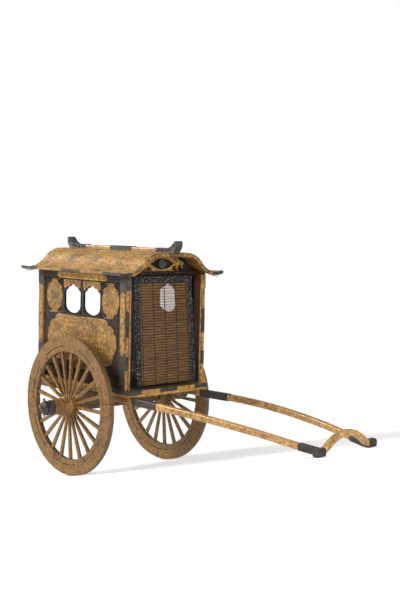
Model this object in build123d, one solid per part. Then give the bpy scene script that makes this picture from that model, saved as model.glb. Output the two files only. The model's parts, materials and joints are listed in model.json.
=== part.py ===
from build123d import *
import math
import os

os.makedirs("parts", exist_ok=True)

# Model of a two-wheeled court ox-drawn carriage at one tenth of full size, all in millimetres.
# Everything is drawn in the cart's own level frame, with the axle's centre as its origin, the front
# at -Y and Z up. The last section pitches the pieces about the axle until the yoke lies on the floor.

# Driving dimensions: cabin
cabin_half_width = 65.5
cabin_front = -96.0
cabin_rear = 91.0
post_width = 8.2
post_depth = 12.0
skin = 0.5
wall_inset = 1.3
wall_thickness = 3.0
relief = 0.8
sill_bottom = 21.0
sill_lower_height = 3.8
sill_upper_height = 4.7
sill_step = 1.2
sill_overhang = 0.1
sill_reach = 7.5
frame_width = 12.5
frame_ledge = 2.0
post_height = 131.5
rail_height = 5.0
skirt_height = 17.0

# Driving dimensions: wheels
wheel_radius = 90.0
wheel_thickness = 6.5
wheel_clearance = 11.0
felloe_width = 20.5
koba_width = 7.0
koba_inset = 0.3
felloe_count = 7
spokes_per_felloe = 3
joint_gap = 0.5
joint_angle = 8.6
spoke_embed = 2.0
spoke_root = (3.0, 2.7)
spoke_tip = (3.4, 4.4)
journal_radius = 5.0
journal_clearance = 0.06
band_x = 26.85
hub_nose = 36.75
end_gap = 0.4

# Driving dimensions: roof
roof_overhang = 12.5
eave_overhang = 19.4
crown_rise = 38.4
valley_rise = 12.6
crown_inset = 43.5
lip_width = 7.9
lip_radius = 17.0
shoulder_radius = 34.0
shell_thickness = 2.8
board_thickness = 3.6
board_depth = 5.4
eave_thickness = 3.2
ridge_width = 9.0
ridge_height = 5.0

# Driving dimensions: shafts and yoke
shaft_inset = 8.5
shaft_size = 8.0
shaft_tip_size = 7.0
shaft_tail = 21.0
shaft_reach = 296.4
sleeve_skin = 0.7
yoke_inset = 10.5
yoke_size = 7.0
yoke_end_z = 1.4
yoke_slope = 35.0
yoke_foot_radius = 12.0
yoke_hump_radius = 43.0
yoke_foot_run = 9.6
yoke_cap_skin = 1.2
yoke_cap_round = 3.0

# Driving dimensions: front blind
blind_gap = 8.3
blind_foot_gap = 4.2
blind_lean = 3.3
blind_thickness = 1.2
rod_radius = 1.0
rod_clearance = 0.06
rod_drop = 2.0

# Heights and lines that follow from them
sill_mid = sill_bottom + sill_lower_height
sill_top = sill_mid + sill_upper_height
plate_bottom = sill_top + post_height
rail_bottom = sill_top + skirt_height
rail_top = rail_bottom + rail_height
sill_half = cabin_half_width + sill_overhang
sill_front = cabin_front - sill_reach
sill_rear = cabin_rear + sill_reach
wall_front = cabin_front + post_depth
wall_rear = cabin_rear - post_depth
wall_outer = cabin_half_width - wall_inset
door_half = cabin_half_width - post_width
cabin_middle = (cabin_front + cabin_rear) / 2
cap_size = yoke_size + 2 * yoke_cap_skin
roof_front = cabin_front - roof_overhang
roof_rear = cabin_rear + roof_overhang
shaft_x = cabin_half_width - shaft_inset
yoke_half_span = shaft_x - yoke_inset
yoke_foot_x = yoke_half_span - yoke_foot_run
far = 2 * cabin_half_width
parts = {}


def block(x0, x1, y0, y1, z0, z1):
    return Pos((x0 + x1) / 2, (y0 + y1) / 2, (z0 + z1) / 2) * Box(abs(x1 - x0), abs(y1 - y0), abs(z1 - z0))


def group(shapes):
    solids = []
    for shape in shapes:
        solids.extend(shape.solids())
    return Compound(solids)


def mirrored(shape):
    return mirror(shape, about=Plane.YZ)


def both_sides(shapes):
    return group(shapes + [mirrored(shape) for shape in shapes])


# Revolves a profile of (x along the axle, radius) points about the X axis
def turned(points):
    line = Polyline(*[(x, r, 0) for x, r in points], close=True)
    return revolve(make_face(line), axis=Axis.X, revolution_arc=360)


# Extrudes a closed outline of (y, z) points along X from x0 to x1
def side_plate(points, x0, x1):
    line = Polyline(*[(x0, y, z) for y, z in points], close=True)
    return extrude(make_face(line), amount=x1 - x0, dir=(1, 0, 0))


# Wheels, drawn for the left side (-X) and mirrored for the right
wheel_inner_x = cabin_half_width + wheel_clearance
wheel_face_x = wheel_inner_x + wheel_thickness
wheel_middle_x = (wheel_inner_x + wheel_face_x) / 2
rim_radius = wheel_radius - felloe_width
koba_radius = rim_radius + koba_width
felloe_angle = 360.0 / felloe_count
spoke_count = felloe_count * spokes_per_felloe
spoke_step = 360.0 / spoke_count
koba_half_angle = spoke_step * (spokes_per_felloe - 1) / 2


def disc(radius, x0, x1):
    return Pos((x0 + x1) / 2, 0, 0) * Rot(Y=90) * Cylinder(radius, abs(x1 - x0))


# A wheel-wide wedge about an angle measured from the front (-Y) towards the top (+Z)
def wheel_wedge(angle, half_angle, x0, x1):
    reach = wheel_radius * 1.5
    corners = [(0.0, 0.0)]
    for turn in (-half_angle, 0.0, half_angle):
        a = math.radians(angle + turn)
        corners.append((-reach * math.cos(a), reach * math.sin(a)))
    return side_plate(corners, x0, x1)


# A radial saw cut from one radius to another
def wheel_slot(angle, r0, r1, width):
    a = math.radians(angle)
    middle = (r0 + r1) / 2
    bar = Box(wheel_thickness + 2, r1 - r0, width)
    return Pos(-wheel_middle_x, -middle * math.cos(a), middle * math.sin(a)) * Rot(X=180 - angle) * bar


koba_x0 = -wheel_face_x + koba_inset
koba_x1 = -wheel_inner_x - koba_inset
koba_ring = disc(koba_radius, koba_x0, koba_x1) - disc(rim_radius, koba_x0 - 1, koba_x1 + 1)
pocket_ring = disc(koba_radius, -wheel_face_x - 1, -wheel_inner_x + 1)
outer_felloes = disc(wheel_radius, -wheel_face_x, -wheel_inner_x)
outer_felloes = outer_felloes - disc(rim_radius, -wheel_face_x - 1, -wheel_inner_x + 1)
koba_pieces = []
for i in range(felloe_count):
    angle = joint_angle + i * felloe_angle
    koba_pieces.append(koba_ring & wheel_wedge(angle, koba_half_angle, koba_x0, koba_x1))
    outer_felloes = outer_felloes - (pocket_ring & wheel_wedge(angle, koba_half_angle, -wheel_face_x - 1,
        -wheel_inner_x + 1))
    outer_felloes = outer_felloes - wheel_slot(angle, koba_radius - 1, wheel_radius + 2, joint_gap)
inner_felloes = group(koba_pieces)

flange_radius = 13.6
spoke_start = flange_radius - spoke_embed
spoke_end = rim_radius + spoke_embed
spokes = []
for i in range(spoke_count):
    foot = Plane(origin=(-wheel_middle_x, 0, spoke_start), z_dir=(0, 0, 1)) * Rectangle(*spoke_root)
    head = Plane(origin=(-wheel_middle_x, 0, spoke_end), z_dir=(0, 0, 1)) * Rectangle(*spoke_tip)
    spoke = loft([foot.face(), head.face()], ruled=True)
    turn = joint_angle + (i + 0.5) * spoke_step - 90.0
    spokes.append(Rot(X=-turn) * spoke)
spoke_group = group(spokes)

# Turned hub: rows of (distance out from the wheel's middle, radius), flange at the spokes, ringed
# barrel, nose under the metal band; the bore runs on the axle's journal
bore = journal_radius + journal_clearance
nose_radius = 7.8
hub_rows = [(-11.75, 8.5), (-9.25, 10.2), (-4.6, 12.0), (-4.0, flange_radius), (3.6, flange_radius),
    (5.8, 12.2),
    (8.0, 11.4), (8.6, 12.0), (10.4, 11.9), (11.2, 11.0), (14.4, 10.7), (15.0, 11.1), (16.4, 11.0),
        (17.0, 10.5),
    (band_x, 9.3), (band_x, nose_radius), (hub_nose - 0.6, nose_radius), (hub_nose - 0.6, bore), (-11.75,
        bore)]
hub = turned([(-wheel_middle_x - d, r) for d, r in hub_rows])
for spoke in spokes:
    hub = hub - spoke
    outer_felloes = outer_felloes - spoke
inner_felloes = group([piece - spoke_group for piece in koba_pieces])
band_rows = [(band_x, nose_radius), (band_x, 9.9), (band_x + 1.8, 9.9), (band_x + 2.4, 9.2),
    (hub_nose - 2.2, 8.8),
    (hub_nose - 1.4, 9.4), (hub_nose, 9.1), (hub_nose, bore), (hub_nose - 0.6, bore), (hub_nose - 0.6,
        nose_radius)]
hub_band = turned([(-wheel_middle_x - d, r) for d, r in band_rows])
wheel_nodes = {"outer_felloes": outer_felloes, "inner_felloes": inner_felloes, "spokes": spoke_group,
    "hub": hub, "hub_band": hub_band}
for name, shape in wheel_nodes.items():
    parts["wheel_" + name + "_left"] = shape
    parts["wheel_" + name + "_right"] = mirrored(shape)

# Axle with its end caps and linchpins; the bolster carries the shafts on the axle
cap_x = wheel_middle_x + hub_nose + end_gap
axle_end = cap_x + 2.7
axle_half = 7.0
pin_x = cap_x + 1.2
pin_radius = 0.9
axle = block(-cabin_half_width, cabin_half_width, -axle_half, axle_half, -axle_half, axle_half)
axle = axle + disc(journal_radius, -axle_end, axle_end)
cap_rows = [(cap_x, journal_radius), (cap_x, 8.4), (cap_x + 1.4, 8.6), (cap_x + 2.5, 7.9),
    (axle_end + 0.5, 5.6),
    (axle_end + 1.0, 3.4), (axle_end + 3.8, 3.0), (axle_end + 4.2, 2.2), (axle_end + 4.2, 0.0),
        (axle_end, 0.0),
    (axle_end, journal_radius)]
axle_cap = turned([(-x, r) for x, r in cap_rows])
linchpin = Pos(-pin_x, 0, 0) * Cylinder(pin_radius, 22)
for hole in (linchpin, mirrored(linchpin)):
    axle = axle - hole
    axle_cap = axle_cap - hole
linchpin = linchpin + Pos(-pin_x, 0, 11.0) * Sphere(1.7)
parts["axle"] = axle
parts["axle_caps"] = both_sides([axle_cap])
parts["linchpins"] = both_sides([linchpin])
shaft_top = sill_bottom
parts["bolster"] = block(-sill_half + 4, sill_half - 4, -9, 9, axle_half, shaft_top - shaft_size)

# Shafts: straight under the cabin, bowed outwards and dipping ahead of it. Rows give the distance
# ahead of the cabin's front, the bow outwards from the straight line, the drop and the section
shaft_end = shaft_reach - yoke_size / 2 - 0.8
shaft_rows = [
    {"ahead": 7.0, "bow": 0.0, "drop": 0.0, "size": shaft_size},
    {"ahead": 58.0, "bow": 2.4, "drop": -0.4, "size": shaft_size},
    {"ahead": 104.0, "bow": 3.0, "drop": 0.4, "size": shaft_size - 0.2},
    {"ahead": shaft_end - 132.1, "bow": -0.2, "drop": 3.2, "size": shaft_size - 0.5},
    {"ahead": shaft_end - 80.1, "bow": -5.6, "drop": 7.4, "size": shaft_size - 0.7},
    {"ahead": shaft_end - 26.1, "bow": -13.8, "drop": 13.8, "size": shaft_tip_size},
    {"ahead": shaft_end, "bow": -18.8, "drop": 16.6, "size": shaft_tip_size}]
shaft_round = 1.4


def shaft_section(y, x, top, size, grow):
    plane = Plane(origin=(-x, y, top - size / 2), x_dir=(1, 0, 0), z_dir=(0, -1, 0))
    return (plane * RectangleRounded(size + 2 * grow, size + 2 * grow, shaft_round + grow)).face()


def row_section(row, grow):
    return shaft_section(cabin_front - row["ahead"], shaft_x + row["bow"], shaft_top - row["drop"],
        row["size"], grow)


def straight_run(grow):
    y = cabin_rear + shaft_tail + grow * 2
    tail = shaft_section(y, shaft_x, shaft_top, shaft_size, grow)
    return loft([tail, row_section(shaft_rows[0], grow)], ruled=True)


def shoulder_run(grow):
    return loft([row_section(row, grow) for row in shaft_rows[:2]], ruled=True)


def tip_run(grow):
    return loft([row_section(row, grow) for row in shaft_rows[-2:]], ruled=True)


bowed_run = loft([row_section(row, 0) for row in shaft_rows[1:-1]])
shaft = straight_run(0) + shoulder_run(0) + bowed_run + tip_run(0)
parts["shaft_left"] = shaft
parts["shaft_right"] = mirrored(shaft)
shoulder = shoulder_run(sleeve_skin) & block(-far, 0, cabin_front - 56, cabin_front - 8, -far, far)
sleeve_end = cabin_front - shaft_reach + cap_size / 2
end_sleeve = tip_run(sleeve_skin) & block(-far, 0, sleeve_end, cabin_front - shaft_end + 22.1, -far, far)
tail_y = cabin_rear + shaft_tail
tail_cap = straight_run(sleeve_skin) & block(-far, 0, tail_y - 13.3, tail_y + 1.2, -far, far)
parts["shaft_shoulder_sleeves"] = both_sides([shoulder - shaft])
parts["shaft_end_sleeves"] = both_sides([end_sleeve - shaft])
parts["shaft_tail_caps"] = both_sides([tail_cap - shaft])

# Yoke: a humped bar across the shaft ends, of straight runs and tangent arcs, with metal end caps
yoke_y = cabin_front - shaft_reach
hump_z = yoke_end_z + yoke_foot_x * math.tan(math.radians(yoke_slope))
yoke_path = FilletPolyline((-yoke_half_span, yoke_y, yoke_end_z), (-yoke_foot_x, yoke_y, yoke_end_z),
    (0, yoke_y, hump_z), (yoke_foot_x, yoke_y, yoke_end_z), (yoke_half_span, yoke_y, yoke_end_z),
    radius=[yoke_foot_radius, yoke_hump_radius, yoke_foot_radius])
yoke_start = Plane(origin=(-yoke_half_span, yoke_y, yoke_end_z), x_dir=(0, 1, 0), z_dir=(1, 0, 0))
yoke = sweep(yoke_start * RectangleRounded(yoke_size, yoke_size, 1.6), path=yoke_path)
cap_start = Plane(origin=(-yoke_half_span - 1.4, yoke_y, yoke_end_z), x_dir=(0, 1, 0), z_dir=(1, 0, 0))
yoke_cap = extrude((cap_start * RectangleRounded(cap_size, cap_size, yoke_cap_round)).face(), amount=11.4)
parts["yoke"] = yoke
parts["yoke_caps"] = both_sides([yoke_cap - yoke - shaft])

# Two-layer sill frame, floor and sill fittings
sill_upper = block(-sill_half, sill_half, sill_front, sill_rear, sill_mid, sill_top)
hole_half = cabin_half_width - frame_width
hole_front = cabin_front + frame_width - 2.5
hole_rear = cabin_rear - frame_width + 2.5
sill_upper = sill_upper - block(-hole_half, hole_half, hole_front, hole_rear, sill_mid - 1, sill_top + 1)
sill_lower = block(-sill_half + sill_step, sill_half - sill_step, sill_front + sill_step,
    sill_rear - sill_step,
    sill_bottom, sill_mid)
sill_lower = sill_lower - block(-hole_half + frame_ledge, hole_half - frame_ledge, hole_front + frame_ledge,
    hole_rear - frame_ledge, sill_bottom - 1, sill_mid + 1)
parts["sill_frame"] = sill_upper + sill_lower
parts["floor"] = block(-hole_half, hole_half, hole_front, hole_rear, sill_mid, sill_top)

sill_corners = []
corner_rows = [{"y": sill_front, "d": 1, "side": 33.0, "end": 21.0}, {"y": sill_rear, "d": -1,
    "side": 24.0, "end": 21.0}]
for row in corner_rows:
    wrap = block(-sill_half - skin, -sill_half + row["end"], row["y"] - row["d"] * skin,
        row["y"] + row["d"] * row["side"],
        sill_mid, sill_top)
    sill_corners.append(wrap - block(-sill_half, sill_half, sill_front, sill_rear, sill_mid - 1,
        sill_top + 1))
parts["sill_corner_fittings"] = both_sides(sill_corners)
centre_plates = []
for y, d in ((sill_front, -1), (sill_rear, 1)):
    centre_plates.append(block(-14, 14, y, y + d * skin, sill_mid, sill_top))
parts["sill_centre_fittings"] = group(centre_plates)

# Corner posts with metal heads and plates on their outer faces; the front right one has a foot bracket
end_rows = [{"y": cabin_front, "d": 1}, {"y": cabin_rear, "d": -1}]
head_bottom = plate_bottom - 8.4
head_top = plate_bottom + 9.6
bracket_height = 18.0
bracket_reach = 6.0
face_rows = [{"low": 24.8, "high": 42.1}, {"low": 65.6, "high": 97.6}]
posts = []
heads = []
face_plates = []
for row in end_rows:
    y0 = row["y"]
    y1 = y0 + row["d"] * post_depth
    front = y0 - row["d"] * skin
    posts.append(block(-cabin_half_width, -door_half, y0, y1, sill_top, plate_bottom))
    head = block(-cabin_half_width - skin, -door_half, front, y1, head_bottom, head_top)
    heads.append(head - block(-cabin_half_width, 0, y0, y1 + row["d"], head_bottom - 1, head_top + 1))
    for plate in face_rows:
        face_plates.append(block(-cabin_half_width, -door_half - 3.6, y0, front, sill_top + plate["low"],
            sill_top + plate["high"]))
parts["corner_posts"] = both_sides(posts)
parts["post_head_fittings"] = both_sides(heads)
foot = Polyline((-cabin_half_width, cabin_front, sill_top + bracket_height),
    (-cabin_half_width, cabin_front, sill_top), (-cabin_half_width, cabin_front - bracket_reach,
        sill_top), close=True)
parts["post_foot_bracket"] = mirrored(extrude(make_face(foot), amount=post_width, dir=(1, 0, 0)))
parts["post_face_plates"] = both_sides(face_plates)

# Roof: one section all along, worked out from the crown, the shoulder and the valley behind the lip
roof_half = cabin_half_width + eave_overhang
crown_x = cabin_half_width - crown_inset
crown_z = plate_bottom + crown_rise
valley_x = roof_half - lip_width
valley_z = plate_bottom + valley_rise
bend = 2 * math.atan((crown_z - valley_z) / (valley_x - crown_x))
valley_radius = (valley_x - crown_x) / math.sin(bend) - shoulder_radius
lip_angle = math.asin(lip_width / lip_radius)
eave_z = valley_z + lip_radius * (1 - math.cos(lip_angle))


# Arc in the plane of constant y about (cx, cz), by the angle a from straight up, clockwise to the right
def roof_arc(cx, cz, r, a0, a1, y, side):
    points = [(side * (cx + r * math.sin(a)), y, cz + r * math.cos(a)) for a in (a0, (a0 + a1) / 2, a1)]
    return ThreePointArc(*points)


# The roof's upper surface, raised by rise: crown line, then shoulder, valley and lip on each side
def roof_top_edges(y, rise):
    top = crown_z + rise
    edges = [Line((-crown_x, y, top), (crown_x, y, top))]
    for side in (1, -1):
        edges.append(roof_arc(crown_x, crown_z - shoulder_radius, shoulder_radius + rise, 0, bend, y, side))
        edges.append(roof_arc(valley_x, valley_z + valley_radius, valley_radius - rise, math.pi + bend,
            math.pi, y, side))
        edges.append(roof_arc(valley_x, valley_z + lip_radius, lip_radius - rise, math.pi,
            math.pi - lip_angle, y, side))
    return edges


# The lower surface: crown and shoulder moved in by depth, then one tangent arc out under the lip
def roof_low_edges(y, depth):
    low = crown_z - depth
    edges = [Line((-crown_x, y, low), (crown_x, y, low))]
    inner = shoulder_radius - depth
    for side in (1, -1):
        edges.append(roof_arc(crown_x, crown_z - shoulder_radius, inner, 0, bend, y, side))
        start = (side * (crown_x + inner * math.sin(bend)), y,
            crown_z - shoulder_radius + inner * math.cos(bend))
        heading = (side * math.cos(bend), 0, -math.sin(bend))
        edges.append(TangentArc(start, (side * roof_half, y, eave_z - eave_thickness), tangent=heading))
    return edges


def roof_band(depth, y0, y1):
    edges = roof_top_edges(y0, 0) + roof_low_edges(y0, depth)
    for side in (1, -1):
        edges.append(Line((side * roof_half, y0, eave_z), (side * roof_half, y0, eave_z - eave_thickness)))
    return extrude(make_face(edges), amount=y1 - y0, dir=(0, 1, 0))


# Everything above the roof shell's lower face, to fit plates and boards under it
def above_shell():
    y = roof_front - 20
    top = crown_z + 40
    low = eave_z - eave_thickness
    rim = Polyline((-roof_half, y, low), (-roof_half, y, top), (roof_half, y, top), (roof_half, y, low))
    return extrude(make_face(roof_low_edges(y, shell_thickness) + [rim]),
        amount=roof_rear - roof_front + 40, dir=(0, 1, 0))


shell = roof_band(shell_thickness, roof_front + board_thickness, roof_rear - board_thickness)
front_board = roof_band(board_depth, roof_front, roof_front + board_thickness)
rear_board = roof_band(board_depth, roof_rear - board_thickness, roof_rear)
over_shell = above_shell()
parts["roof_shell"] = shell
parts["bargeboards"] = group([front_board, rear_board])

# Wall plates carry the roof's long sides; lintels cross the doorways
plate_inner = cabin_half_width - 7.4
wall_plate = block(-cabin_half_width + 0.3, -plate_inner, cabin_front, cabin_rear, plate_bottom, crown_z)
parts["wall_plates"] = both_sides([wall_plate - over_shell])
lintel_bottom = plate_bottom + 10.6
lintel_top = lintel_bottom + 4.0
lintels = []
for row in end_rows:
    y0 = row["y"] + row["d"] * 3.5
    y1 = y0 + row["d"] * 10.5
    lintels.append(block(-plate_inner, plate_inner, y0, y1, lintel_bottom, lintel_top) - over_shell)
parts["lintels"] = group(lintels)

# Gable: dark board, openwork frog-leg strut with an eye-shaped opening, round crest
strut_rows = [(0.0, 20.4), (9.0, 20.2), (18.0, 18.6), (25.0, 16.2), (31.0, 13.2), (35.6, 11.6), (36.8, 9.0),
    (34.4, 6.6), (35.4, 3.6), (32.0, 0.6), (26.0, 0.0), (0.0, 0.0)]
boards = []
struts = []
crests = []
for row in end_rows:
    d = row["d"]
    board0 = row["y"] + d * 13.0
    boards.append(block(-plate_inner, plate_inner, board0, board0 + d * 2, lintel_top,
        crown_z) - over_shell)
    front = board0 - d * 2.6
    base = lintel_top
    outline = [(x, base + z) for x, z in strut_rows] + [(-x, base + z) for x,
        z in reversed(strut_rows[1:-1])]
    face = make_face(Polyline(*[(x, front, z) for x, z in outline], close=True))
    strut = extrude(face, amount=2.6, dir=(0, d, 0))
    left, right, mid = (-20.4, front, base + 9.2), (20.4, front, base + 9.2), base + 9.2
    eye = make_face([ThreePointArc(left, (0, front, mid + 7.2), right), ThreePointArc(right, (0, front,
        mid - 7.2), left)])
    struts.append(strut - extrude(eye, amount=2.6, dir=(0, d, 0)) - over_shell)
    crests.append(Pos(0, board0 - d * 1.7, mid) * Rot(X=90) * Cylinder(5.6, 3.4))
parts["gable_boards"] = group(boards)
parts["gable_struts"] = group(struts)
parts["gable_crests"] = group(crests)


# Dark metal on the eaves: clasps halfway along, and caps over the corners. A cap is a skin over the
# lip and the eave's edge, with a plate over the board's end and a strip further along the eave
corner_reach = 18.0
corner_depth = 6.0
eave_run = 35.0
eave_low = eave_z - eave_thickness
corner_bend = math.asin((valley_x - roof_half + corner_reach) / valley_radius)
lip_end = math.pi - lip_angle


def lip_skin(y0, y1):
    cz = valley_z + valley_radius
    lip_z = valley_z + lip_radius
    valley = [roof_arc(valley_x, cz, valley_radius - rise, math.pi + corner_bend, math.pi, y0,
        -1) for rise in (0, skin)]
    lip = [roof_arc(valley_x, lip_z, lip_radius - rise, math.pi, lip_end, y0, -1) for rise in (0, skin)]
    inner = [valley[k] @ 0 for k in (0, 1)]
    outer = [(-roof_half - skin, y0, eave_z + skin), (-roof_half - skin, y0, eave_low), (-roof_half, y0,
        eave_low)]
    rim = [Line(inner[0], inner[1]), Line(lip[1] @ 1, outer[0]), Line(outer[0], outer[1]), Line(outer[1],
        outer[2]),
        Line(outer[2], lip[0] @ 1)]
    return extrude(make_face(valley + lip + rim), amount=y1 - y0, dir=(0, 1, 0))


for name, edge, d in (("front", roof_front, 1), ("rear", roof_rear, -1)):
    s0, s1 = sorted((edge - d * skin, edge + d * corner_depth))
    f0, f1 = sorted((edge - d * skin, edge))
    face = roof_band(board_depth, f0, f1)
    face = face & block(-roof_half, -roof_half + corner_reach, f0, f1, eave_low - 9, crown_z)
    strip = block(-roof_half - skin, -roof_half, edge + d * corner_depth, edge + d * eave_run, eave_low,
        eave_z)
    parts["eave_corner_caps_" + name] = both_sides([lip_skin(s0, s1) + face + strip])
clasp = block(-roof_half - skin, -roof_half, -26, 14, eave_low, eave_z)
parts["eave_clasps"] = both_sides([clasp])

# Ridge pole with its centre band and horned end ornaments
ridge_top = crown_z + ridge_height
ridge_middle = (roof_front + roof_rear) / 2 - 1.0
horn_foot = 75.5
horn_reach = 114.5
horn_base = horn_reach - 8.0
ridge = block(-ridge_width / 2, ridge_width / 2, ridge_middle - horn_base + 1,
    ridge_middle + horn_base - 1, crown_z, ridge_top)
ridge = fillet(ridge.edges().filter_by(Axis.Y).group_by(Axis.Z)[-1], 1.6)
parts["ridge_pole"] = ridge
band = block(-ridge_width / 2 - 0.7, ridge_width / 2 + 0.7, ridge_middle - 24.5, ridge_middle + 18.5,
    crown_z, ridge_top + 0.8)
parts["ridge_band"] = band - ridge


# Horned ornament on a plane of constant x, d = -1 at the front: hollow inner curve, round tip, bulging end
def horn(d):
    x = -ridge_width / 2 - 1.0

    def at(y, z):
        return (x, ridge_middle + d * y, crown_z + z)
    edges = [Line(at(horn_foot, 0), at(horn_foot, 5.8)), Line(at(horn_foot, 5.8), at(horn_foot + 16, 5.5)),
        ThreePointArc(at(horn_foot + 16, 5.5), at(horn_reach - 11.5, 7.6), at(horn_reach - 4.2, 13.4)),
        ThreePointArc(at(horn_reach - 4.2, 13.4), at(horn_reach - 2.0, 15.0), at(horn_reach, 12.6)),
        ThreePointArc(at(horn_reach, 12.6), at(horn_reach - 1.4, 5.4), at(horn_base, -1.2)),
        Line(at(horn_base, -1.2), at(horn_base - 10, 0)), Line(at(horn_base - 10, 0), at(horn_foot, 0))]
    return extrude(make_face(edges), amount=ridge_width + 2.0, dir=(1, 0,
        0)) - ridge - shell - front_board - rear_board


parts["ridge_ornaments"] = group([horn(-1), horn(1)])

# Side walls with their windows, rails and recessed skirt panels, drawn for the left side. A shutter
# closes the rear window of the right wall from inside
window_half = 17.8
window_round = 8.0
window_height = 37.3
window_bottom = plate_bottom - 43.8
window_pitch = 41.5
rim_width = 1.3
window_rows = [{"y": cabin_middle - 1.95 + window_pitch / 2}, {"y": cabin_middle - 1.95 - window_pitch / 2}]


# Cusp-topped opening as closed edges in a plane of constant x
def window_edges(x, y):
    w, h, b = window_half, window_height, window_bottom
    right = [(w, window_round), (w, h - 13.0), (w - 0.7, h - 8.6), (w - 4.5, h - 6.6), (w - 6.2, h - 3.6),
        (w - 10.5, h - 2.9),
        (w - 12.7, h - 1.0), (0.0, h)]
    edges = []
    for side in (1, -1):
        pts = [(x, y + side * py, b + pz) for py, pz in right]
        edges.append(Line(pts[0], pts[1]))
        for k in (1, 3, 5):
            edges.append(ThreePointArc(pts[k], pts[k + 1], pts[k + 2]))
        turn = window_round * (1 - math.sqrt(0.5))
        corner = (x, y + side * (w - turn), b + turn)
        edges.append(ThreePointArc(pts[0], corner, (x, y + side * (w - window_round), b)))
    edges.append(Line((x, y + w - window_round, b), (x, y - w + window_round, b)))
    return edges


wall = block(-wall_outer, -wall_outer + wall_thickness, wall_front, wall_rear, rail_top, plate_bottom)
frames = []
spandrels = []
spandrel_low = window_bottom + window_height - 5.5
for row in window_rows:
    y = row["y"]
    cut = extrude(make_face(window_edges(-wall_outer - 20, y)), amount=40, dir=(1, 0, 0))
    wall = wall - cut
    opening = make_face(window_edges(-wall_outer - skin, y))
    outer = extrude(offset(opening, amount=rim_width, kind=Kind.INTERSECTION), amount=skin, dir=(1, 0, 0))
    frames.append(outer - cut)
    half = window_pitch / 2 - 2.2
    top = plate_bottom - 0.4
    outline = [(y - half, top), (y - half, spandrel_low + 2), (y - half + 3, spandrel_low),
        (y + half - 3, spandrel_low),
        (y + half, spandrel_low + 2), (y + half, top)]
    spandrels.append(side_plate(outline, -wall_outer - relief, -wall_outer) - outer - cut)
shutter_edge = 1.8
shutter_thickness = 1.2
shutter_y = window_rows[0]["y"]
shutter = block(wall_outer - wall_thickness - shutter_thickness, wall_outer - wall_thickness,
    shutter_y - window_half - shutter_edge, shutter_y + window_half + shutter_edge,
        window_bottom - shutter_edge,
    window_bottom + window_height + shutter_edge)
parts["window_shutter"] = shutter
parts["side_wall_left"] = wall
parts["side_wall_right"] = mirrored(wall)
parts["window_frames"] = both_sides(frames)
parts["window_spandrels"] = both_sides(spandrels)
rail = block(-wall_outer - relief, -door_half - 0.7, wall_front, wall_rear, rail_bottom, rail_top)
parts["lower_rails"] = both_sides([rail])
skirt = block(-wall_outer + 2.2, -wall_outer + 4.2, wall_front, wall_rear, sill_top, rail_bottom)
parts["skirt_panels"] = both_sides([skirt])


# Raised panels: lobed outlines of (y, z) points with an arc through every second one
def lobed_plate(y, z, half, straight_at=()):
    x0 = -wall_outer - relief
    edges = []
    for sy in (1, -1):
        for i in range(0, len(half) - 2, 2):
            a, b, c = [(x0, y + sy * half[i + k][0], z + half[i + k][1]) for k in range(3)]
            edges.append(ThreePointArc(a, b, c) if i not in straight_at else Line(a, c))
    return extrude(make_face(edges), amount=relief, dir=(1, 0, 0))


medallion_z = plate_bottom - 22.8
medallion_half = [(0.0, 21.5), (5.6, 20.4), (8.4, 15.6), (13.4, 14.6), (14.8, 9.6), (17.2, 5.4), (17.4,
    0.0),
    (17.2, -5.4), (14.8, -9.6), (13.4, -14.6), (8.4, -15.6), (5.6, -20.4), (0.0, -21.5)]
cloud_z = plate_bottom - 46.6
cloud_half = [(0.0, 0.0), (24.0, 0.0), (48.0, 0.0), (54.4, -2.4), (57.0, -8.0), (65.0, -9.4), (68.4, -16.4),
    (72.6, -21.0), (73.4, -29.0), (72.6, -37.0), (67.0, -44.0), (65.0, -52.6), (56.0, -59.0), (28.0, -59.0),
    (0.0, -59.0)]
medallions = []
for y in (wall_rear - 24.0, wall_front + 19.5):
    medallion = lobed_plate(y, medallion_z, medallion_half)
    for z in (-22.4, 21.0):
        medallion = medallion + block(-wall_outer - relief, -wall_outer, y - 4.4, y + 4.4, medallion_z + z,
            medallion_z + z + 1.4)
    medallions.append(medallion)
parts["side_medallions"] = both_sides(medallions)
parts["cloud_panels"] = both_sides([lobed_plate(cabin_middle - 1.0, cloud_z, cloud_half, (0, 12))])

# Frieze: a gold band with pointed ends along each wall plate, dark plates beyond it
plate_face = cabin_half_width - 0.3
frieze_low = plate_bottom + 1.2
frieze_high = plate_bottom + 8.8
frieze_front = wall_front + 25.0
frieze_rear = wall_rear - 30.0
point = 4.0
middle_z = (frieze_low + frieze_high) / 2
frieze_line = [(frieze_front, middle_z), (frieze_front + point, frieze_high), (frieze_rear - point,
    frieze_high),
    (frieze_rear, middle_z), (frieze_rear - point, frieze_low), (frieze_front + point, frieze_low)]
frieze = side_plate(frieze_line, -plate_face - 0.7, -plate_face)
parts["frieze_bands"] = both_sides([frieze])
ends = []
for y0, y1 in ((wall_front, frieze_front + point), (frieze_rear - point, wall_rear)):
    ends.append(block(-plate_face - 0.4, -plate_face, y0, y1, frieze_low, frieze_high) - frieze)
parts["frieze_end_plates"] = both_sides(ends)

# Gold strips with pointed ends on the posts' outer sides
strip_half = 4.5
strip_low = plate_bottom - 88.7
strip_high = head_bottom - 0.3
strips = []
for row in end_rows:
    y = row["y"] + row["d"] * post_depth / 2
    outline = [(y, strip_low), (y + strip_half, strip_low + 4.5), (y + strip_half, strip_high - 4.5), (y,
        strip_high),
        (y - strip_half, strip_high - 4.5), (y - strip_half, strip_low + 4.5)]
    strips.append(side_plate(outline, -cabin_half_width - skin, -cabin_half_width))
parts["post_strips"] = both_sides(strips)

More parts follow.
